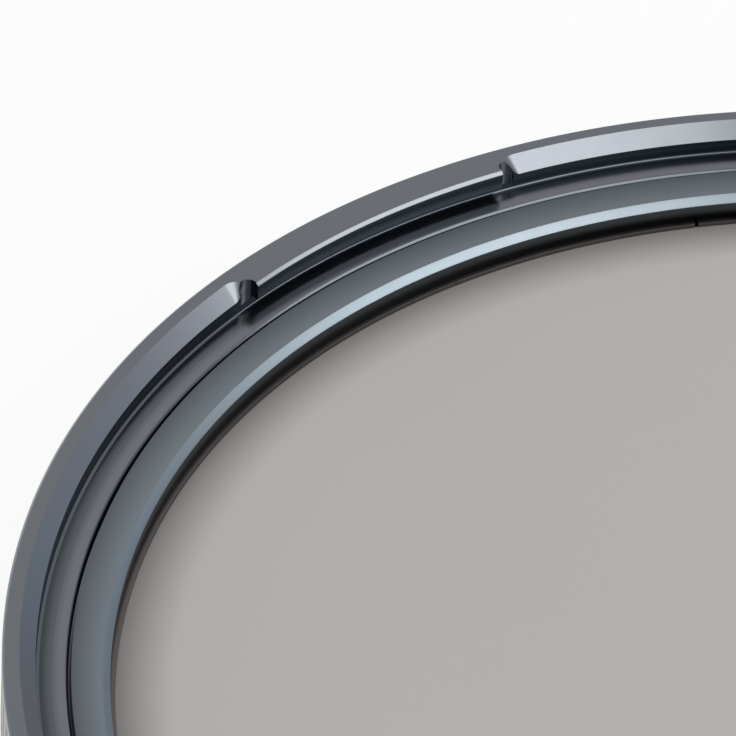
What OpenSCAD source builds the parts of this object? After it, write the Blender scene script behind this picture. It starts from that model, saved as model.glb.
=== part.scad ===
// Magnetic circular polarizing filter for a camera lens.
// A base ring with magnets locates on the lens or on another filter. A front ring turns on it
// and carries the glass cell, with two glasses and two films between them.
// Origin: on the ring's axis, in the rear face that the filter lies on. +Z points away from the lens.

/* [Overall size] */
// Outer diameter of the front ring
outer_d = 87; // [60:0.5:110]
// Height from the rear face to the rim
total_h = 6.8; // [6.6:0.05:8]
// Edge break on outer corners
edge_break = 0.16; // [0.05:0.01:0.2]

/* [Rim and recess] */
// Width of the rim, from the outer wall to the wall of the recess
rim_w = 1.55; // [1.4:0.05:1.9]
// Depth of the recess below the rim
recess_depth = 1.55; // [1.4:0.05:1.65]
// Width of the flat floor round the recess
floor_w = 1.5; // [1.3:0.05:1.8]
// Small chamfer where the recess wall meets the floor, and at the floor's inner edge
floor_chamfer = 0.12; // [0.05:0.01:0.2]
// Wide chamfer on the rim between the lugs
rim_chamfer = 0.75; // [0.4:0.05:0.85]
// How much deeper the undercut goes than the recess wall above it
undercut = 0.02; // [0.02:0.01:0.1]

/* [Lugs] */
// Number of inward lugs on the rim
lug_count = 3; // [2:1:4]
// Angle that one lug covers
lug_span = 22.2; // [14:0.2:30]
// How far a lug reaches in from the recess wall
lug_reach = 0.41; // [0.3:0.01:0.6]
// Thickness of a lug
lug_t = 1.0; // [0.7:0.05:1.1]
// Small chamfer along the top of a lug
lug_chamfer = 0.17; // [0.05:0.01:0.25]
// Diameter of the corner relief that the end mill leaves beside a lug
relief_d = 0.92; // [0.6:0.02:1.1]
// How far the relief runs past the lug's end face
relief_bite = 0.03; // [0.01:0.01:0.06]
// Distance along the rim from a lug's end to where the chamfer cutter stops
cutter_stop = 1.25; // [1:0.05:2]
// Radius of the chamfer cutter's tip
cutter_tip_r = 0.22; // [0.15:0.01:0.35]

/* [Grip] */
// Number of grooves in the front ring's outer wall
grip_count = 180; // [90:10:240]
// Depth of a groove
grip_depth = 0.22; // [0.1:0.01:0.3]
// Width of the land between two grooves
grip_land = 0.5; // [0.3:0.05:0.6]
// Plain band left at the top and at the bottom of the outer wall
grip_margin = 0.55; // [0.4:0.05:1]

/* [Glass cell] */
// Gap between the floor's edge and the cell's lip
lip_gap = 0.15; // [0.1:0.01:0.3]
// Width of the cell's sloping front face
cell_face_w = 1.46; // [1.2:0.02:1.8]
// Height that the face drops towards the glass
cell_face_drop = 0.27; // [0.1:0.01:0.35]
// Chamfer at the mouth of the cell
cell_chamfer = 0.36; // [0.2:0.02:0.5]
// Thickness of the cell's flange at its outer edge
cell_flange_t = 0.5; // [0.4:0.05:0.6]
// Wall of the cell below its flange
cell_wall = 0.82; // [0.75:0.01:0.9]
// Radial clearance of the cell in the front ring
cell_fit = 0.03; // [0.01:0.01:0.05]
// Thickness of the shoulder behind the glass
shoulder_t = 0.35; // [0.3:0.05:0.5]
// How far the shoulder reaches in from the cell's bore
shoulder_reach = 0.8; // [0.5:0.05:1.5]

/* [Glass and films] */
// Depth of the front glass below the rim
glass_depth = 3.35; // [3.2:0.05:3.4]
// Thickness of each of the two glasses
glass_t = 1.0; // [0.8:0.05:1.05]
// Thickness of the polarizing film
polarizer_t = 0.2; // [0.1:0.02:0.24]
// Thickness of the quarter-wave film
retarder_t = 0.1; // [0.06:0.02:0.14]
// Radial clearance of the glass in the cell
glass_fit = 0.1; // [0.05:0.01:0.15]
// How far the films stop short of the glass edge
film_margin = 0.3; // [0.1:0.05:0.6]

/* [Snap ring] */
// Thickness of the snap ring that holds the glass
snap_t = 0.25; // [0.2:0.01:0.35]
// How far the snap ring stands in from the cell's bore
snap_show = 0.26; // [0.2:0.01:0.4]
// Depth of the snap ring's groove
snap_groove = 0.42; // [0.3:0.01:0.45]
// Clearance of the snap ring in its groove
snap_fit = 0.03; // [0.02:0.01:0.05]
// Width of the split in the snap ring
snap_split = 0.4; // [0.2:0.05:1]
// Angle from the middle of the first lug to the split
snap_turn = -24; // [-60:1:60]

/* [Base ring] */
// Radial clearance of the rear spigot inside the lugs of a ring like this one
spigot_fit = 0.14; // [0.08:0.01:0.3]
// How much shorter the spigot is than the recess
spigot_short = 0.1; // [0.05:0.01:0.2]
// How far the base flange stays inside the outer wall
flange_step = 0.2; // [0.1:0.05:0.4]
// Thickness of the base flange
flange_t = 1.05; // [0.9:0.05:1.15]
// Radial gap between the glass cell and the base ring
turn_gap = 0.2; // [0.15:0.01:0.25]

/* [Turning fit] */
// Wall of the front ring's skirt round the neck
skirt_w = 0.94; // [0.85:0.01:1]
// Radial running clearance between the neck and the skirt
run_fit = 0.06; // [0.03:0.01:0.09]
// Wall of the base ring's neck
neck_w = 0.65; // [0.6:0.01:0.7]
// Clearance over the other faces that pass each other
face_gap = 0.1; // [0.08:0.01:0.14]
// Metal between the recess floor and the groove for the neck
web_t = 0.95; // [0.8:0.05:1]
// Diameter of the wire that holds the rings together
wire_d = 0.5; // [0.4:0.02:0.54]
// Clearance round the wire
wire_fit = 0.03; // [0.02:0.01:0.05]
// Depth of the wire's middle below the top of the neck
wire_down = 0.75; // [0.6:0.05:0.85]
// Width of the split in the wire
wire_split = 2; // [1:0.5:6]

/* [Magnets] */
// Number of magnets in each ring
magnet_count = 12; // [6:2:18]
// Diameter of a magnet
magnet_d = 1.5; // [1:0.1:1.5]
// Thickness of a magnet
magnet_t = 1.0; // [0.8:0.05:1.05]
// Radial clearance of a magnet in its pocket
magnet_fit = 0.03; // [0.01:0.01:0.04]
// How far a magnet lies below the mouth of its pocket
magnet_sink = 0.05; // [0.02:0.01:0.1]
// Metal between the front magnets and the seat of the glass cell
magnet_roof = 0.35; // [0.3:0.05:0.4]

/* [Hidden] */
$fn = 180;
cut = 0.5;

r_out = outer_d / 2;
r_wall = r_out - rim_w;
r_lug = r_wall - lug_reach;
r_undercut = r_wall + undercut;
r_floor = r_wall - floor_w;
r_lip = r_floor - lip_gap;
r_face = r_lip - cell_face_w;
r_bore = r_face - cell_chamfer;
r_cell = r_bore + cell_wall;
r_glass = r_bore - glass_fit;
r_rear = r_cell + turn_gap;
r_spigot = r_lug - spigot_fit;
r_flange = r_out - flange_step;
r_skirt = r_out - skirt_w;
r_neck = r_skirt - run_fit;
r_hub = r_neck - neck_w - face_gap;
r_wire = r_skirt - run_fit / 2;
r_magnets = (r_rear + r_spigot) / 2;

z_floor = total_h - recess_depth;
z_seat = z_floor - cell_flange_t;
z_glass = total_h - glass_depth;
z_polarizer = z_glass - glass_t;
z_retarder = z_polarizer - polarizer_t;
z_back = z_retarder - retarder_t;
z_shoulder = z_back - glass_t;
z_hub = z_seat - magnet_roof - magnet_t - magnet_sink;
z_spigot = recess_depth - spigot_short;
z_flange = z_spigot + flange_t;
z_neck = z_floor - web_t - face_gap;
z_wire = z_neck - wire_down;

lug_first = 90;
lug_step = 360 / lug_count;
r_relief = r_wall - lug_reach / 4;
cutter_turn = lug_span / 2 + along(cutter_stop, r_wall);
relief_turn = lug_span / 2 + along(relief_d / 2 - relief_bite, r_relief);
relief_z = total_h - lug_t - edge_break;
cutter_inset = 0.015;
cutter_overrun = 0.03;
r_cutter = r_wall - cutter_tip_r - cutter_inset;

function along(length, r) = length / r * 180 / PI;

magnet_names = [for (i = [1:magnet_count]) str("rear_magnet_", i)];
front_magnet_names = [for (i = [1:magnet_count]) str("front_magnet_", i)];

// A ring with the given section, from the inner radius to the outer one
module turned_ring(r_in, r_outer, z_low, z_high) {
    rotate_extrude() translate([r_in, z_low]) square([r_outer - r_in, z_high - z_low]);
}

// A disc on the axis, with a small flat chamfer round both edges
module disc(r, z_low, t, edge) {
    rotate_extrude()
        polygon([[0, z_low], [r - edge, z_low], [r, z_low + edge], [r, z_low + t - edge],
                 [r - edge, z_low + t], [0, z_low + t]]);
}

// Groove for half of the retaining wire
module wire_groove() {
    reach = wire_d / 2 + wire_fit;
    turned_ring(r_wire - reach, r_wire + reach, z_wire - reach, z_wire + reach);
}

// Pockets for the magnets, opening downwards from z_mouth
module magnet_pockets(z_mouth) {
    for (i = [1:magnet_count])
        rotate((i - 0.5) * 360 / magnet_count)
            translate([r_magnets, 0, z_mouth - cut])
                cylinder(d = magnet_d + 2 * magnet_fit, h = cut + magnet_sink + magnet_t);
}

module magnet(i, z_mouth) {
    color("gainsboro")
        rotate((i - 0.5) * 360 / magnet_count)
            translate([r_magnets, 0, z_mouth + magnet_sink])
                cylinder(d = magnet_d, h = magnet_t);
}

// Fixed ring: a spigot with magnets, a flange, and a neck that the front ring turns on
module base_ring() {
    z_block = z_hub - face_gap;
    color("dimgray")
        difference() {
            rotate_extrude()
                polygon([
                    [r_rear + edge_break / 2, 0],
                    [r_spigot - edge_break / 2, 0],
                    [r_spigot, edge_break / 2],
                    [r_spigot, z_spigot],
                    [r_flange - edge_break, z_spigot],
                    [r_flange, z_spigot + edge_break],
                    [r_flange, z_flange - edge_break],
                    [r_flange - edge_break, z_flange],
                    [r_neck, z_flange],
                    [r_neck, z_neck - edge_break],
                    [r_neck - edge_break, z_neck],
                    [r_neck - neck_w, z_neck],
                    [r_neck - neck_w, z_block],
                    [r_rear, z_block],
                    [r_rear, edge_break / 2]
                ]);
            wire_groove();
            magnet_pockets(0);
        }
}

// Open ring of round wire, half in the neck and half in the skirt
module retaining_wire() {
    open_angle = along(wire_split, r_wire);
    color("silver")
        rotate(open_angle / 2)
            rotate_extrude(angle = 360 - open_angle)
                translate([r_wire, z_wire]) circle(d = wire_d, $fn = 32);
}

// Section of the front ring through a lug
module front_section() {
    polygon([
        [r_out - edge_break, z_flange + face_gap],
        [r_out, z_flange + face_gap + edge_break],
        [r_out, total_h - edge_break],
        [r_out - edge_break, total_h],
        [r_lug + lug_chamfer, total_h],
        [r_lug, total_h - lug_chamfer],
        [r_lug, total_h - lug_t],
        [r_undercut, total_h - lug_t],
        [r_undercut, z_floor + floor_chamfer],
        [r_undercut - floor_chamfer, z_floor],
        [r_floor + floor_chamfer, z_floor],
        [r_floor, z_floor - floor_chamfer],
        [r_floor, z_seat],
        [r_cell + cell_fit, z_seat],
        [r_cell + cell_fit, z_hub],
        [r_hub, z_hub],
        [r_hub, z_neck + face_gap],
        [r_skirt, z_neck + face_gap],
        [r_skirt, z_flange + face_gap]
    ]);
}

// What the mills take out of the rim between two lugs, from the lug at the given angle
module lug_gap_cut(lug_angle) {
    gap = lug_step - lug_span;
    chamfer_gap = lug_step - 2 * cutter_turn;
    r_clear = r_lug - cut;
    rotate(lug_angle + lug_span / 2)
        rotate_extrude(angle = gap)
            translate([r_clear, total_h - lug_t - edge_break])
                square([r_wall - r_clear, lug_t + edge_break + cut]);
    rotate(lug_angle + cutter_turn)
        rotate_extrude(angle = chamfer_gap)
            polygon([[r_wall - edge_break, total_h - rim_chamfer - edge_break],
                     [r_wall + rim_chamfer + cut, total_h + cut],
                     [r_wall - edge_break, total_h + cut]]);
    for (side = [-1, 1])
        rotate(lug_angle + lug_step / 2 + side * (lug_step / 2 - relief_turn))
            translate([r_relief, 0, relief_z])
                cylinder(d = relief_d, h = total_h - relief_z + cut);
}

// Cones that the chamfer cutter leaves at both ends of its path, a hair inside the chamfer
module chamfer_end_cut(lug_angle) {
    for (side = [-1, 1])
        rotate(lug_angle + lug_step / 2 + side * (lug_step / 2 - cutter_turn + cutter_overrun))
            translate([r_cutter, 0, total_h - rim_chamfer])
                cylinder(r1 = cutter_tip_r, r2 = cutter_tip_r + rim_chamfer + cut, h = rim_chamfer + cut);
}

// Straight grooves round the outer wall, as a star-shaped tube that is cut away
module grip_cut() {
    pitch = 360 / grip_count;
    half_land = along(grip_land, r_out) / 2;
    z_low = z_flange + face_gap + grip_margin;
    outline = [for (i = [0:grip_count - 1], p = [[-half_land, 0], [half_land, 0], [pitch / 2, 1]])
        let (r = p[1] == 0 ? r_out + edge_break / 2 : r_out - grip_depth, a = i * pitch + p[0])
        [r * cos(a), r * sin(a)]];
    translate([0, 0, z_low])
        linear_extrude(height = total_h - grip_margin - z_low)
            difference() {
                circle(r = r_out + cut);
                polygon(outline);
            }
}

// Rotating ring: rim with lugs over an undercut recess, a floor over the magnets, and a skirt
module front_ring() {
    color("slategray")
        difference() {
            difference() {
                rotate_extrude() front_section();
                for (i = [0:lug_count - 1]) lug_gap_cut(lug_first + i * lug_step);
            }
            for (i = [0:lug_count - 1]) chamfer_end_cut(lug_first + i * lug_step);
            wire_groove();
            magnet_pockets(z_hub);
            grip_cut();
        }
}

// Ring that holds the glass: its flange sits in the front ring, its wall carries the glass
module glass_cell() {
    z_mouth = z_floor - cell_face_drop;
    z_low = z_shoulder - shoulder_t;
    z_groove = z_glass - snap_fit;
    color("darkslategray")
        rotate_extrude()
            polygon([
                [r_lip, z_seat],
                [r_lip, z_floor],
                [r_face, z_mouth],
                [r_bore, z_mouth - cell_chamfer],
                [r_bore, z_groove + snap_t + 2 * snap_fit],
                [r_bore + snap_groove, z_groove + snap_t + 2 * snap_fit],
                [r_bore + snap_groove, z_groove],
                [r_bore, z_groove],
                [r_bore, z_shoulder],
                [r_bore - shoulder_reach, z_shoulder],
                [r_bore - shoulder_reach, z_low + edge_break / 2],
                [r_bore - shoulder_reach + edge_break / 2, z_low],
                [r_cell - edge_break, z_low],
                [r_cell, z_low + edge_break],
                [r_cell, z_seat]
            ]);
}

module front_glass() {
    color("darkgray") disc(r_glass, z_polarizer, glass_t, edge_break / 2);
}

module polarizing_film() {
    color("gray") disc(r_glass - film_margin, z_retarder, polarizer_t, 0);
}

module quarter_wave_film() {
    color("tan") disc(r_glass - film_margin, z_back, retarder_t, 0);
}

module rear_glass() {
    color("darkgray") disc(r_glass, z_shoulder, glass_t, edge_break / 2);
}

// Flat split ring, sprung into the cell's groove over the glass
module glass_snap_ring() {
    r_in = r_bore - snap_show;
    open_angle = along(snap_split, r_in);
    color("rosybrown")
        rotate(lug_first + snap_turn + open_angle / 2)
            rotate_extrude(angle = 360 - open_angle)
                translate([r_in, z_glass])
                    square([snap_show + snap_groove - snap_fit, snap_t]);
}

base_ring();
retaining_wire();
front_ring();
glass_cell();
front_glass();
polarizing_film();
quarter_wave_film();
rear_glass();
glass_snap_ring();
for (i = [1:magnet_count])
    magnet(i, 0);
for (i = [1:magnet_count])
    magnet(i, z_hub);
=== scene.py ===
import math
import bpy
import bmesh
from mathutils import Matrix, Vector


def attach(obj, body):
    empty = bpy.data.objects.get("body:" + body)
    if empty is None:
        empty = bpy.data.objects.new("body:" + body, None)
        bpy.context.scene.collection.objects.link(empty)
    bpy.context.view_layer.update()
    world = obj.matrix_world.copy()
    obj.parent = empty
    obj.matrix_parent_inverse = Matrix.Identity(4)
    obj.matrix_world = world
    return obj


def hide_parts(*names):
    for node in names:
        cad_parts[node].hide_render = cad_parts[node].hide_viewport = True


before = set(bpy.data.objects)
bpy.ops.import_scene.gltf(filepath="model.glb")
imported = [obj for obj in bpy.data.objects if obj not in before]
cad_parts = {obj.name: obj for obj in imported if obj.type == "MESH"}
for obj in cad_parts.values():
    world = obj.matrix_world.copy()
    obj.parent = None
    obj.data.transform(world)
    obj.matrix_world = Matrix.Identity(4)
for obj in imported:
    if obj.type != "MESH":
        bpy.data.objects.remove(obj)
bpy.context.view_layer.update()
scene = bpy.context.scene
print("frame loaded:", len(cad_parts), "nodes")


# small mesh helpers; sizes are in mm and angles in degrees

mm = 0.001
nearNothing = 1e-6


def polar(r, degrees, z=0.0):
    a = math.radians(degrees)
    return Vector((r * math.cos(a), r * math.sin(a), z)) * mm


def arcAngle(length, r):
    return math.degrees(length / r)


def pieceFrom(bm, name, fixNormals=True):
    if fixNormals:
        bmesh.ops.recalc_face_normals(bm, faces=bm.faces)
    mesh = bpy.data.meshes.new(name)
    bm.to_mesh(mesh)
    bm.free()
    piece = bpy.data.objects.new(name, mesh)
    scene.collection.objects.link(piece)
    return piece


def softCorners(outline, radius, steps=2, ownSteps=6, sideShare=0.4):
    # rounds the corners of a closed section, so that edges catch the light
    # a corner's third number is its own radius, and no corner takes more than its share of a side
    soft = []
    for i, here in enumerate(outline):
        p = Vector(here[:2])
        before = Vector(outline[i - 1][:2]) - p
        after = Vector(outline[(i + 1) % len(outline)][:2]) - p
        if here[0] < nearNothing or before.length < nearNothing or after.length < nearNothing:
            soft.append(tuple(p))
            continue
        own = len(here) > 2
        reach = min(here[2] if own else radius, before.length * sideShare, after.length * sideShare)
        a, b = p + before.normalized() * reach, p + after.normalized() * reach
        count = ownSteps if own else steps
        for k in range(count + 1):
            t = k / count
            soft.append(tuple(a.lerp(p, t).lerp(p.lerp(b, t), t)))
    return soft


def turned(name, section, segments=720):
    # a closed section (r, z) turned once round the axis
    bm = bmesh.new()
    rings = []
    for r, z in section:
        if r < nearNothing:
            rings.append([bm.verts.new((0, 0, z * mm))])
        else:
            rings.append([bm.verts.new(polar(r, k * 360 / segments, z)) for k in range(segments)])
    for i, here in enumerate(rings):
        there = rings[(i + 1) % len(rings)]
        if len(here) == 1 and len(there) == 1:
            continue
        for k in range(segments):
            k2 = (k + 1) % segments
            corners = [here[k % len(here)], here[k2 % len(here)],
                       there[k2 % len(there)], there[k % len(there)]]
            bm.faces.new(list(dict.fromkeys(corners)))
    return pieceFrom(bm, name)


def sweptArc(name, section, start, span, segments):
    # a closed section swept part of the way round, with flat ends
    bm = bmesh.new()
    stations = []
    for k in range(segments + 1):
        angle = start + span * k / segments
        stations.append([bm.verts.new(polar(r, angle, z)) for r, z in section])
    for here, there in zip(stations, stations[1:]):
        for i in range(len(section)):
            j = (i + 1) % len(section)
            bm.faces.new((here[i], here[j], there[j], there[i]))
    bm.faces.new(stations[0])
    bm.faces.new(stations[-1])
    return pieceFrom(bm, name)


def layered(name, layers):
    # a solid through outlines of (r, degrees), each with its height and all with as many points
    bm = bmesh.new()
    rings = [[bm.verts.new(polar(r, a, z)) for r, a in outline] for outline, z in layers]
    for low, high in zip(rings, rings[1:]):
        for i in range(len(low)):
            j = (i + 1) % len(low)
            bm.faces.new((low[i], low[j], high[j], high[i]))
    bm.faces.new(rings[0])
    bm.faces.new(rings[-1])
    return pieceFrom(bm, name)


def around(centreR, centreAngle, radius, points, first=0.0, span=360.0):
    # points (r, degrees) on a circle in plan; first is measured from the outward direction
    found = []
    for k in range(points):
        a = math.radians(first + span * k / (points if span == 360.0 else points - 1))
        out, side = radius * math.cos(a), radius * math.sin(a)
        r = math.hypot(centreR + out, side)
        found.append((r, centreAngle + math.degrees(math.atan2(side, centreR + out))))
    return found


def freshMesh(piece):
    # the evaluated shape becomes the piece's own mesh, and its modifiers go
    depsgraph = bpy.context.evaluated_depsgraph_get()
    mesh = bpy.data.meshes.new_from_object(piece.evaluated_get(depsgraph))
    piece.modifiers.clear()
    piece.data = mesh
    return piece


def cutAway(piece, tools):
    for tool in tools:
        cut = piece.modifiers.new("cut", "BOOLEAN")
        cut.operation = "DIFFERENCE"
        cut.solver = "EXACT"
        cut.object = tool
    freshMesh(piece)
    for tool in tools:
        bpy.data.objects.remove(tool)
    return piece


def smoothByAngle(piece, degrees=32):
    piece.data.polygons.foreach_set("use_smooth", [True] * len(piece.data.polygons))
    piece.data.set_sharp_from_angle(angle=math.radians(degrees))
    level = piece.modifiers.new("evenNormals", "WEIGHTED_NORMAL")
    level.weight = 100
    level.keep_sharp = True
    return freshMesh(piece)


def fitPiece(piece, material, body, nodes):
    piece.data.materials.clear()
    piece.data.materials.append(material)
    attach(piece, body)
    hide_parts(*nodes)
    print("made", piece.name, len(piece.data.polygons), "faces")
    return piece


# node helpers

class Signal:
    # a socket that adds Math nodes when it is used in an expression
    def __init__(self, maker, socket):
        self.maker, self.socket = maker, socket

    def mathNode(self, operation, first, second):
        return self.maker.make("ShaderNodeMath", {"operation": operation}, {0: first, 1: second})

    def __add__(self, other): return self.mathNode("ADD", self, other)
    def __radd__(self, other): return self.mathNode("ADD", other, self)
    def __sub__(self, other): return self.mathNode("SUBTRACT", self, other)
    def __rsub__(self, other): return self.mathNode("SUBTRACT", other, self)
    def __mul__(self, other): return self.mathNode("MULTIPLY", self, other)
    def __rmul__(self, other): return self.mathNode("MULTIPLY", other, self)
    def __truediv__(self, other): return self.mathNode("DIVIDE", self, other)
    def __pow__(self, other): return self.mathNode("POWER", self, other)
    def clamped(self): return self.mathNode("MINIMUM", self.mathNode("MAXIMUM", self, 0.0), 1.0)
    def above(self, edge): return self.mathNode("GREATER_THAN", self, edge)
    def below(self, edge): return 1 - self.above(edge)
    def larger(self, other): return self.mathNode("MAXIMUM", self, other)


class NodeMaker:
    def __init__(self, tree):
        self.tree = tree

    def make(self, kind, settings=None, values=None, output=0):
        node = self.tree.nodes.new(kind)
        for key, value in (settings or {}).items():
            if key == "stops":
                self.setStops(node.color_ramp, value)
            else:
                setattr(node, key, value)
        for key, value in (values or {}).items():
            if isinstance(value, Signal):
                self.tree.links.new(value.socket, node.inputs[key])
            else:
                node.inputs[key].default_value = value
        return Signal(self, node.outputs[output]) if len(node.outputs) else None

    def setStops(self, ramp, stops):
        while len(ramp.elements) < len(stops):
            ramp.elements.new(0.5)
        for element, (place, colour) in zip(ramp.elements, stops):
            element.position, element.color = place, colour

    def outputsOf(self, signal, count):
        return [Signal(self, signal.socket.node.outputs[k]) for k in range(count)]

    def mixColour(self, factor, first, second):
        return self.make("ShaderNodeMix", {"data_type": "RGBA"}, {0: factor, 6: first, 7: second}, 2)

    def noise(self, place, scale, detail):
        return self.make("ShaderNodeTexNoise", None, {"Vector": place, "Scale": scale, "Detail": detail})

    def bump(self, height, strength, depth):
        return self.make("ShaderNodeBump", None, {"Strength": strength, "Distance": depth, "Height": height})


def newMaterial(name):
    material = bpy.data.materials.new(name)
    material.use_nodes = True
    material.node_tree.nodes.clear()
    return material, NodeMaker(material.node_tree)


def endMaterial(maker, shader):
    maker.make("ShaderNodeOutputMaterial", None, {"Surface": shader})


def objectVector(n):
    return n.make("ShaderNodeTexCoord", output=3)


def objectPlace(n):
    # Object coordinates as a vector, its y and z, and the distance from the axis, all in metres
    place = objectVector(n)
    x, y, z = n.outputsOf(n.make("ShaderNodeSeparateXYZ", None, {0: place}), 3)
    return place, y, z, (x * x + y * y) ** 0.5


def shades(colour, share):
    # the colour a share darker and a share lighter
    return [tuple(c * factor for c in colour) + (1,) for factor in (1 - share, 1 + share)]


# a row of copies round the axis, for the grip's grooves and the magnets

def makeRowGroup():
    tree = bpy.data.node_groups.new("rowRoundAxis", "GeometryNodeTree")
    face = tree.interface
    face.new_socket("Geometry", in_out="INPUT", socket_type="NodeSocketGeometry")
    face.new_socket("Count", in_out="INPUT", socket_type="NodeSocketInt")
    face.new_socket("Step angle", in_out="INPUT", socket_type="NodeSocketFloat")
    face.new_socket("Material", in_out="INPUT", socket_type="NodeSocketMaterial")
    face.new_socket("Geometry", in_out="OUTPUT", socket_type="NodeSocketGeometry")
    n = NodeMaker(tree)
    start = Signal(n, tree.nodes.new("NodeGroupInput").outputs[0])
    shape, count, stepAngle, paint = n.outputsOf(start, 4)
    points = n.make("GeometryNodePoints", None, {"Count": count})
    turn = n.make("ShaderNodeCombineXYZ", None, {2: n.make("GeometryNodeInputIndex") * stepAngle})
    placed = n.make("GeometryNodeInstanceOnPoints", None,
                    {"Points": points, "Instance": shape, "Rotation": turn})
    real = n.make("GeometryNodeRealizeInstances", None, {0: placed})
    painted = n.make("GeometryNodeSetMaterial", None, {0: real, "Material": paint})
    n.make("NodeGroupOutput", None, {0: painted})
    return tree


rowGroup = makeRowGroup()


def rowOf(piece, count, material=None):
    row = piece.modifiers.new("row", "NODES")
    row.node_group = rowGroup
    sockets = {item.name: item.identifier for item in rowGroup.interface.items_tree
               if item.in_out == "INPUT"}
    row[sockets["Count"]] = count
    row[sockets["Step angle"]] = math.radians(360 / count)
    if material:
        row[sockets["Material"]] = material
    return freshMesh(piece)


# finish of the anodised rings, with painted shade for the front ring's recess and the glass cell; lengths in
# the finishes are in metres

blastFinish = {"grain": 9000.0, "grainDepth": 0.000004, "grainRough": 0.06, "bump": 0.5,
               "mottle": 700.0, "mottleShare": 0.08, "mottleRough": 0.08,
               "marks": 14000.0, "marksRough": 0.08, "cellMarks": 0.4}

# painted shade in the front ring's recess: darker walls, wall foot, soft edges and floor corner
# the lug values are cosines: 1 in the middle of a lug, 0.84 at its ends
recessPaintedShade = {"insideR": 0.04202, "slope": 6.0, "wallShare": 0.93,
              "footR": 0.0412, "footFrom": 0.62, "footFade": 0.22, "footLeast": 0.42, "footShare": 0.93,
              "edgeShare": 0.75, "belowZ": 0.00604, "floorTop": 0.0053, "floorPolish": 0.08,
              "flat": 0.9, "cornerR": 0.04086, "cornerWidth": 0.00082, "cornerEnd": 0.04178,
              "cornerShare": 0.75, "lugFrom": 0.78, "lugFade": 0.05, "lugShare": 0.95,
              "colour": (0.022, 0.034, 0.044, 1)}


def slantedPaintedShade(facing, z, radius):
    # painted shade on sloping faces: the foot of the wall, and the soft edges nearer the axis
    s = recessPaintedShade
    foot = radius.above(s["footR"])
    footDark = (1 - ((facing - s["footFrom"]) / s["footFade"]).clamped()) * s["footShare"]
    footDark = footDark.larger(s["footLeast"])
    edgeDark = (1 - facing ** 4) * s["edgeShare"]
    return (foot * footDark + (1 - foot) * edgeDark) * z.below(s["belowZ"]) * facing.above(0.0)


def cornerPaintedShade(facing, y, z, radius):
    # painted shade on the flat floor towards its corner, less so where it already lies in the shadow of a
    # lug
    s = recessPaintedShade
    corner = ((radius - s["cornerR"]) / s["cornerWidth"]).clamped() * s["cornerShare"]
    corner = corner * radius.below(s["cornerEnd"]) * z.below(s["floorTop"]) * facing.above(s["flat"])
    sine = y / radius
    # with three lugs, the cosine of three times the angle from the middle of one
    lugCosine = 4 * sine * sine * sine - 3 * sine
    underLug = ((lugCosine - s["lugFrom"]) / s["lugFade"]).clamped()
    return corner * (1 - underLug * s["lugShare"])


def paintRecessShade(n, base, rough, y, z, radius):
    # painted shade: upright faces and the corner of the recess are painted darker than the faces that the
    # light falls on
    s = recessPaintedShade
    facing = n.make("ShaderNodeSeparateXYZ", None, {0: n.make("ShaderNodeNewGeometry", output=1)}, 2)
    within = radius.below(s["insideR"])
    upright = (1 - (facing * facing * s["slope"]).clamped()) * s["wallShare"]
    darkest = upright.larger(slantedPaintedShade(facing, z, radius)).larger(cornerPaintedShade(facing, y, z, radius))
    polish = z.below(s["floorTop"]) * within * s["floorPolish"]
    return n.mixColour(darkest * within, base, s["colour"]), rough - polish


# painted shade in the glass cell: its bore and the outer part of its face
cellPaintedShade = {"insideR": 0.0386, "mouthZ": 0.00461, "fromZ": 0.00398, "fade": 0.00034,
            "upper": 0.70, "lower": 0.995, "faceR": 0.0390, "faceWidth": 0.00125, "faceShare": 0.42,
            "colour": (0.003, 0.004, 0.004, 1)}


def paintCellShade(n, base, rough, y, z, radius):
    # painted shade: the bore below its mouth is painted dark, darkest deepest down, and the face is painted
    # darker towards its rim
    s = cellPaintedShade
    deep = 1 - ((z - s["fromZ"]) / s["fade"]).clamped()
    bore = z.below(s["mouthZ"]) * radius.below(s["insideR"])
    bore = bore * (s["upper"] + deep * (s["lower"] - s["upper"]))
    outward = ((radius - s["faceR"]) / s["faceWidth"]).clamped() * z.above(s["mouthZ"])
    return n.mixColour(bore + outward * s["faceShare"], base, s["colour"]), rough


def anodisedMetal(name, colour, roughness, turnedMarks=0.0, shadePainter=None):
    material, n = newMaterial(name)
    place, y, z, radius = objectPlace(n)
    s = blastFinish
    grain = n.make("ShaderNodeTexNoise", None,
                   {"Vector": place, "Scale": s["grain"], "Detail": 2.0, "Roughness": 0.6})
    mottle = n.noise(place, s["mottle"], 3.0)
    share = s["mottleShare"]
    tone = (mottle - 0.5) * share + (grain - 0.5) * share + 0.5
    base = n.mixColour(tone.clamped(), *shades(colour, share))
    rough = roughness + (mottle - 0.5) * s["mottleRough"] + (grain - 0.5) * s["grainRough"]
    # painted shade, for the pieces that have it
    if shadePainter:
        base, rough = shadePainter(n, base, rough, y, z, radius)
    height = grain
    if turnedMarks:
        across = n.make("ShaderNodeCombineXYZ", None, {0: radius * s["marks"], 1: z * s["marks"]})
        marks = n.noise(across, 1.0, 2.0)
        height = marks * turnedMarks + grain * (1 - turnedMarks)
        rough = rough + (marks - 0.5) * s["marksRough"] * turnedMarks
    endMaterial(n, n.make("ShaderNodeBsdfPrincipled", None,
                          {"Base Color": base, "Metallic": 1.0, "Roughness": rough,
                           "Normal": n.bump(height, s["bump"], s["grainDepth"])}))
    return material


# front ring, with its sizes as in the part

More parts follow.
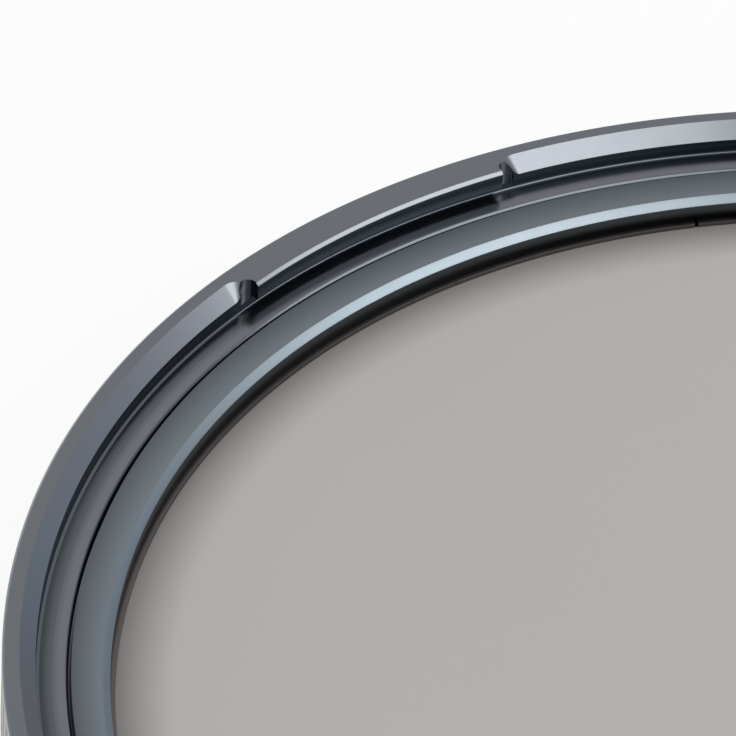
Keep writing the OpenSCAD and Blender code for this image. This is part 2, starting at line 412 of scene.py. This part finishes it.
ring = {"outerR": 43.5, "height": 6.8, "edge": 0.16, "wallR": 41.95, "undercutR": 41.97, "lugR": 41.54,
        "floorZ": 5.25, "floorChamfer": 0.12, "foot": 0.20, "rimChamfer": 0.75, "floorR": 40.45,
        "seatZ": 4.75, "seatR": 39.33, "hubZ": 3.35, "hubR": 41.75, "roofZ": 4.3, "skirtR": 42.56,
        "bottomZ": 2.6, "lugCount": 3, "lugSpan": 22.2, "lugDepth": 1.0, "lugChamfer": 0.17,
        "firstLug": 90.0, "gapSteps": 190, "reliefR": 0.46, "reliefAt": 41.8475, "reliefTurn": 11.689,
        "reliefZ": 5.64, "reliefSides": 72, "cutterTip": 0.22, "cutterTurn": 12.807, "cutterSides": 40,
        "cutterInside": 0.001, "toolInside": 0.6, "wallRise": 0.5, "reliefRise": 0.6, "millRise": 0.4,
        "soft": 0.03, "grips": 180, "gripLand": 0.5, "gripDepth": 0.22, "gripLow": 3.15,
        "gripHigh": 6.25, "gripPast": 44.2}


def wallTool(angle, step):
    s = ring
    start, end = angle + s["lugSpan"] / 2, angle + step - s["lugSpan"] / 2
    count = s["gapSteps"]
    inner = [(s["lugR"] - s["toolInside"], start + (end - start) * k / count) for k in range(count + 1)]
    outer = [(s["wallR"], end + (start - end) * k / count) for k in range(count + 1)]
    return layered("wallTool", [(inner + outer, s["reliefZ"]),
                                (inner + outer, s["height"] + s["wallRise"])])


def millPath(angle, step, radius):
    # where a mill of this radius goes along the rim between two lugs; both ends are round
    s = ring
    c1, c2 = angle + s["cutterTurn"], angle + step - s["cutterTurn"]
    middle = s["wallR"] - s["cutterTip"] - s["cutterInside"]
    count = s["gapSteps"]
    out = [(middle + radius, c1 + (c2 - c1) * k / count) for k in range(1, count)]
    back = [(middle - radius, c2 + (c1 - c2) * k / count) for k in range(1, count)]
    return (out + around(middle, c2, radius, s["cutterSides"], 0, 180)
            + back + around(middle, c1, radius, s["cutterSides"], 180, 180))


def lugGapTools(angle):
    s = ring
    step = 360 / s["lugCount"]
    grow = s["rimChamfer"] + s["millRise"]
    bottom = s["height"] - s["rimChamfer"]
    mill = layered("chamferTool", [(millPath(angle, step, s["cutterTip"]), bottom),
                                   (millPath(angle, step, s["cutterTip"] + grow), bottom + grow)])
    tools = [wallTool(angle, step), mill]
    for turn in (s["reliefTurn"], step - s["reliefTurn"]):
        hole = around(s["reliefAt"], angle + turn, s["reliefR"], s["reliefSides"])
        tools.append(layered("reliefTool", [(hole, s["reliefZ"]), (hole, s["height"] + s["reliefRise"])]))
    return tools


def gripTool():
    # a V groove, repeated round the ring
    s = ring
    pitch = 360 / s["grips"]
    half = arcAngle(s["gripLand"], s["outerR"]) / 2
    top = s["outerR"] + s["edge"] / 2
    plan = [(top, half), (s["outerR"] - s["gripDepth"], pitch / 2), (top, pitch - half),
            (s["gripPast"], pitch - half), (s["gripPast"], half)]
    return rowOf(layered("gripGroove", [(plan, s["gripLow"]), (plan, s["gripHigh"])]), s["grips"])


def makeFrontRing(material):
    s = ring
    e, f = s["edge"], s["floorChamfer"]
    section = [(s["outerR"] - e, s["bottomZ"]), (s["outerR"], s["bottomZ"] + e),
               (s["outerR"], s["height"] - e), (s["outerR"] - e, s["height"]),
               (s["lugR"] + s["lugChamfer"], s["height"]), (s["lugR"], s["height"] - s["lugChamfer"]),
               (s["lugR"], s["height"] - s["lugDepth"]), (s["undercutR"], s["height"] - s["lugDepth"]),
               (s["undercutR"], s["floorZ"], s["foot"]),
               (s["floorR"] + f, s["floorZ"]), (s["floorR"], s["floorZ"] - f),
               (s["floorR"], s["seatZ"]), (s["seatR"], s["seatZ"]), (s["seatR"], s["hubZ"]),
               (s["hubR"], s["hubZ"]), (s["hubR"], s["roofZ"]), (s["skirtR"], s["roofZ"]),
               (s["skirtR"], s["bottomZ"])]
    piece = turned("frontRing", softCorners(section, s["soft"]))
    tools = []
    for k in range(s["lugCount"]):
        tools += lugGapTools(s["firstLug"] + k * 360 / s["lugCount"])
    cutAway(piece, tools)
    cutAway(piece, [gripTool()])
    smoothByAngle(piece)
    return fitPiece(piece, material, "front", ["front_ring"])


# glass cell

cell = {"lipR": 40.30, "faceR": 38.84, "boreR": 38.48, "outerR": 39.30, "seatZ": 4.75, "topZ": 5.25,
        "faceZ": 4.98, "chamfer": 0.36, "grooveZ": 3.42, "grooveH": 0.31, "groove": 0.42,
        "shoulderZ": 1.15, "shoulder": 0.8, "bottomZ": 0.80, "edge": 0.16, "soft": 0.02}


def makeGlassCell(material):
    s = cell
    e, bore = s["edge"], s["boreR"]
    grooveR, grooveTop = bore + s["groove"], s["grooveZ"] + s["grooveH"]
    ledge = bore - s["shoulder"]
    section = [(s["lipR"], s["seatZ"]), (s["lipR"], s["topZ"]), (s["faceR"], s["faceZ"]),
               (bore, s["faceZ"] - s["chamfer"]), (bore, grooveTop),
               (grooveR, grooveTop), (grooveR, s["grooveZ"]),
               (bore, s["grooveZ"]), (bore, s["shoulderZ"]), (ledge, s["shoulderZ"]),
               (ledge, s["bottomZ"] + e / 2), (ledge + e / 2, s["bottomZ"]),
               (s["outerR"] - e, s["bottomZ"]), (s["outerR"], s["bottomZ"] + e),
               (s["outerR"], s["seatZ"])]
    piece = smoothByAngle(turned("glassCell", softCorners(section, s["soft"])))
    return fitPiece(piece, material, "front", ["glass_cell"])


# snap ring over the glass

snap = {"innerR": 38.22, "outerR": 38.87, "lowZ": 3.45, "thick": 0.25, "split": 0.2, "splitAt": 65.0,
        "soft": 0.02, "segments": 700}


def makeSnapRing(material):
    s = snap
    openAngle = arcAngle(s["split"], s["innerR"])
    section = [(s["innerR"], s["lowZ"]), (s["outerR"], s["lowZ"]),
               (s["outerR"], s["lowZ"] + s["thick"]), (s["innerR"], s["lowZ"] + s["thick"])]
    piece = sweptArc("snapRing", softCorners(section, s["soft"]), s["splitAt"] + openAngle / 2,
                     360 - openAngle, s["segments"])
    smoothByAngle(piece)
    return fitPiece(piece, material, "front", ["glass_snap_ring"])


# glass and films: node, radius, low face, high face, edge break and slot of each disc

glassStack = {"frontGlass": ("front_glass", 38.38, 2.45, 3.45, 0.08, "coated_glass"),
              "polarizingFilm": ("polarizing_film", 38.08, 2.25, 2.45, 0.0, "polarizing_film"),
              "quarterWaveFilm": ("quarter_wave_film", 38.08, 2.15, 2.25, 0.0, "retarder_film"),
              "rearGlass": ("rear_glass", 38.38, 1.15, 2.15, 0.08, "coated_glass")}
# each disc stops short at both faces, so that no two faces coincide
discFit = {"short": 0.002, "segments": 360}


def makeGlassStack(materials):
    for name, (node, r, low, high, edge, slotName) in glassStack.items():
        low, high = low + discFit["short"], high - discFit["short"]
        if edge:
            section = [(0, low), (r - edge, low), (r, low + edge),
                       (r, high - edge), (r - edge, high), (0, high)]
        else:
            section = [(0, low), (r, low), (r, high), (0, high)]
        piece = smoothByAngle(turned(name, section, discFit["segments"]))
        fitPiece(piece, materials[slotName], "front", [node])


# base ring and the magnets of both rings

base = {"rearR": 39.5, "spigotR": 41.4, "flangeR": 43.3, "neckR": 42.5, "neckInR": 41.85, "spigotZ": 1.45,
        "flangeZ": 2.5, "neckZ": 4.2, "blockZ": 3.25, "edge": 0.16, "soft": 0.03}
magnet = {"count": 12, "r": 0.75, "pocketR": 0.78, "pitchR": 40.45, "thick": 1.0, "sink": 0.05,
          "edge": 0.05, "rearZ": 0.0, "frontZ": 3.35, "sides": 48, "pocketSides": 64, "pocketBelow": -0.5}


def makeBaseRing(material):
    s, e = base, base["edge"]
    section = [(s["rearR"] + e / 2, 0), (s["spigotR"] - e / 2, 0), (s["spigotR"], e / 2),
               (s["spigotR"], s["spigotZ"]), (s["flangeR"] - e, s["spigotZ"]),
               (s["flangeR"], s["spigotZ"] + e), (s["flangeR"], s["flangeZ"] - e),
               (s["flangeR"] - e, s["flangeZ"]), (s["neckR"], s["flangeZ"]), (s["neckR"], s["neckZ"] - e),
               (s["neckR"] - e, s["neckZ"]), (s["neckInR"], s["neckZ"]), (s["neckInR"], s["blockZ"]),
               (s["rearR"], s["blockZ"]), (s["rearR"], e / 2)]
    piece = turned("baseRing", softCorners(section, s["soft"]))
    tools = []
    for k in range(magnet["count"]):
        hole = around(magnet["pitchR"], (k + 0.5) * 360 / magnet["count"], magnet["pocketR"],
                      magnet["pocketSides"])
        tools.append(layered("pocketTool", [(hole, magnet["pocketBelow"]),
                                            (hole, magnet["sink"] + magnet["thick"])]))
    cutAway(piece, tools)
    smoothByAngle(piece)
    return fitPiece(piece, material, "base", ["base_ring"])


def magnetRow(name, mouthZ, material, body, prefix):
    # a disc with broken edges, repeated round the ring
    s = magnet
    low, high = mouthZ + s["sink"], mouthZ + s["sink"] + s["thick"]
    profile = ((s["r"] - s["edge"], low), (s["r"], low + s["edge"]),
               (s["r"], high - s["edge"]), (s["r"] - s["edge"], high))
    layers = [(around(s["pitchR"], 180 / s["count"], r, s["sides"]), z) for r, z in profile]
    piece = smoothByAngle(rowOf(layered(name, layers), s["count"], material))
    nodes = [f"{prefix}_{k}" for k in range(1, s["count"] + 1)]
    return fitPiece(piece, material, body, nodes)


# wire that holds the two rings together

wire = {"r": 0.25, "ringR": 42.53, "z": 3.45, "split": 2.0, "sides": 16, "segments": 600}


def makeWire(material):
    s = wire
    openAngle = arcAngle(s["split"], s["ringR"])
    section = []
    for k in range(s["sides"]):
        a = k * math.tau / s["sides"]
        section.append((s["ringR"] + s["r"] * math.cos(a), s["z"] + s["r"] * math.sin(a)))
    piece = sweptArc("retainingWire", section, openAngle / 2, 360 - openAngle, s["segments"])
    smoothByAngle(piece)
    return fitPiece(piece, material, "base", ["retaining_wire"])


# the other finishes

filmLook = {"drift": 60.0, "driftShare": 0.015}
glassLook = {"colour": (0.664, 0.602, 0.564), "roughness": 0.12, "alpha": 0.84, "gloss": 0.12,
             "drift": 40.0, "driftShare": 0.015, "rimFrom": 0.0356, "rimWidth": 0.0026,
             "rimShare": 0.50, "rimColour": (0.012, 0.010, 0.010, 1)}
wearLook = {"scale": 1500.0, "share": 0.06, "rough": 0.12, "bump": 0.3, "depth": 0.000004}


def filmMaterial(name, colour, alpha, roughness=0.5):
    material, n = newMaterial(name)
    drift = n.noise(objectVector(n), filmLook["drift"], 1.0)
    tint = n.mixColour(drift, *shades(colour, filmLook["driftShare"]))
    endMaterial(n, n.make("ShaderNodeBsdfPrincipled", None,
                          {"Base Color": tint, "Roughness": roughness, "Alpha": alpha}))
    return material


def glassMaterial():
    # a grey veil, darker towards the rim, where the bore shades it
    material, n = newMaterial("coatedGlass")
    place, y, z, radius = objectPlace(n)
    s = glassLook
    drift = n.noise(place, s["drift"], 1.0)
    rim = ((radius - s["rimFrom"]) / s["rimWidth"]).clamped() * s["rimShare"]
    tint = n.mixColour(rim, n.mixColour(drift, *shades(s["colour"], s["driftShare"])), s["rimColour"])
    endMaterial(n, n.make("ShaderNodeBsdfPrincipled", None,
                          {"Base Color": tint, "Roughness": s["roughness"], "Alpha": s["alpha"],
                           "Specular IOR Level": s["gloss"]}))
    return material


def plainMetal(name, colour, roughness):
    material, n = newMaterial(name)
    s = wearLook
    wear = n.noise(objectVector(n), s["scale"], 3.0)
    endMaterial(n, n.make("ShaderNodeBsdfPrincipled", None,
                          {"Base Color": n.mixColour(wear, *shades(colour, s["share"])), "Metallic": 1.0,
                           "Roughness": roughness + (wear - 0.5) * s["rough"],
                           "Normal": n.bump(wear, s["bump"], s["depth"])}))
    return material


finishes = {"ring": ((0.245, 0.249, 0.262), 0.30), "cell": ((0.282, 0.312, 0.333), 0.40),
            "snap": ((0.17, 0.15, 0.14), 0.35), "wire": ((0.55, 0.55, 0.54), 0.3),
            "magnet": ((0.72, 0.70, 0.66), 0.22), "polarizer": ((0.42, 0.40, 0.385), 0.85),
            "retarder": ((0.8, 0.79, 0.75), 0.06)}

# the front ring and the glass cell take painted shade as well
ringFinish = anodisedMetal("ringAnodised", *finishes["ring"], shadePainter=paintRecessShade)
baseFinish = anodisedMetal("baseAnodised", *finishes["ring"])
cellFinish = anodisedMetal("cellAnodised", *finishes["cell"], blastFinish["cellMarks"], paintCellShade)
snapFinish = plainMetal("snapSteel", *finishes["snap"])
wireFinish = plainMetal("springWire", *finishes["wire"])
magnetFinish = plainMetal("magnetNickel", *finishes["magnet"])
glassFinishes = {"coated_glass": glassMaterial(),
                 "polarizing_film": filmMaterial("polarizer", *finishes["polarizer"]),
                 "retarder_film": filmMaterial("retarder", *finishes["retarder"])}
print("finishes ready")

makeFrontRing(ringFinish)
makeGlassCell(cellFinish)
makeSnapRing(snapFinish)
makeGlassStack(glassFinishes)
makeBaseRing(baseFinish)
magnetRow("rearMagnets", magnet["rearZ"], magnetFinish, "base", "rear_magnet")
magnetRow("frontMagnets", magnet["frontZ"], magnetFinish, "front", "front_magnet")
makeWire(wireFinish)


# floor, light and camera; the world's steps go by the height of the direction, from level to straight up

studio = {"floorSize": 3.0, "floorSides": 96, "floorDrop": 0.00002, "floorWhite": 0.95, "glow": 0.92,
          "worldSteps": ((0.0, (0.44, 0.55, 0.69)), (0.55, (0.555, 0.575, 0.605)),
                         (0.70, (0.67, 0.69, 0.71)), (0.81, (0.425, 0.445, 0.46))),
          "keyColour": (0.915, 0.98, 1.0), "keyPower": 2.27, "keySize": 0.64, "keyDistance": 0.6,
          "keyTurn": -62.0, "keyRise": 38.0}


def makeFloor():
    # shows white in the picture and in reflections, and keeps some of the object's shadow
    s = studio
    bm = bmesh.new()
    bmesh.ops.create_circle(bm, cap_ends=True, radius=s["floorSize"], segments=s["floorSides"])
    floor = pieceFrom(bm, "floor", False)
    floor.data.transform(Matrix.Translation((0, 0, -s["floorDrop"])))
    material, n = newMaterial("floorPaper")
    path = n.tree.nodes.new("ShaderNodeLightPath")
    camera, glossy, through = (Signal(n, path.outputs[f"Is {kind} Ray"])
                               for kind in ("Camera", "Glossy", "Transmission"))
    paper = n.make("ShaderNodeBsdfDiffuse", None, {"Color": (s["floorWhite"],) * 3 + (1,)})
    glow = n.make("ShaderNodeEmission", None, {"Color": (1, 1, 1, 1), "Strength": 1.0})
    share = ((camera + glossy + through) * s["glow"]).clamped()
    endMaterial(n, n.make("ShaderNodeMixShader", None, {0: share, 1: paper, 2: glow}))
    floor.data.materials.append(material)


def makeWorld():
    world = bpy.data.worlds.new("studio")
    world.use_nodes = True
    world.node_tree.nodes.clear()
    n = NodeMaker(world.node_tree)
    height = n.make("ShaderNodeSeparateXYZ", None, {0: n.make("ShaderNodeTexCoord")}, 2)
    stops = [(place, colour + (1,)) for place, colour in studio["worldSteps"]]
    shade = n.make("ShaderNodeValToRGB", {"stops": stops}, {0: height.clamped()})
    light = n.make("ShaderNodeBackground", None, {"Color": shade, "Strength": 1.0})
    n.make("ShaderNodeOutputWorld", None, {"Surface": light})
    scene.world = world


def makeKey():
    s = studio
    lamp = bpy.data.lights.new("key", "AREA")
    lamp.shape = "DISK"
    lamp.size = s["keySize"]
    lamp.energy = s["keyPower"]
    lamp.color = s["keyColour"]
    lampObject = bpy.data.objects.new("key", lamp)
    scene.collection.objects.link(lampObject)
    turn, rise = math.radians(s["keyTurn"]), math.radians(s["keyRise"])
    way = Vector((math.cos(turn) * math.cos(rise), math.sin(turn) * math.cos(rise), math.sin(rise)))
    lampObject.location = way * s["keyDistance"]
    lampObject.rotation_euler = way.to_track_quat("Z", "Y").to_euler()


view = {"place": (-160.0528, -136.6980, 187.5635), "turn": (51.46728, -3.12945, -39.49912),
        "lens": 291.48, "sensor": 36.0, "near": 0.01, "far": 20.0}


def makeCamera():
    camera = bpy.data.cameras.new("camera")
    camera.lens = view["lens"]
    camera.sensor_width = view["sensor"]
    camera.clip_start, camera.clip_end = view["near"], view["far"]
    cameraObject = bpy.data.objects.new("camera", camera)
    cameraObject.location = Vector(view["place"]) * mm
    cameraObject.rotation_euler = [math.radians(a) for a in view["turn"]]
    scene.collection.objects.link(cameraObject)
    scene.camera = cameraObject


makeFloor()
makeWorld()
makeKey()
makeCamera()
scene.view_settings.view_transform = "Standard"
print("studio ready")
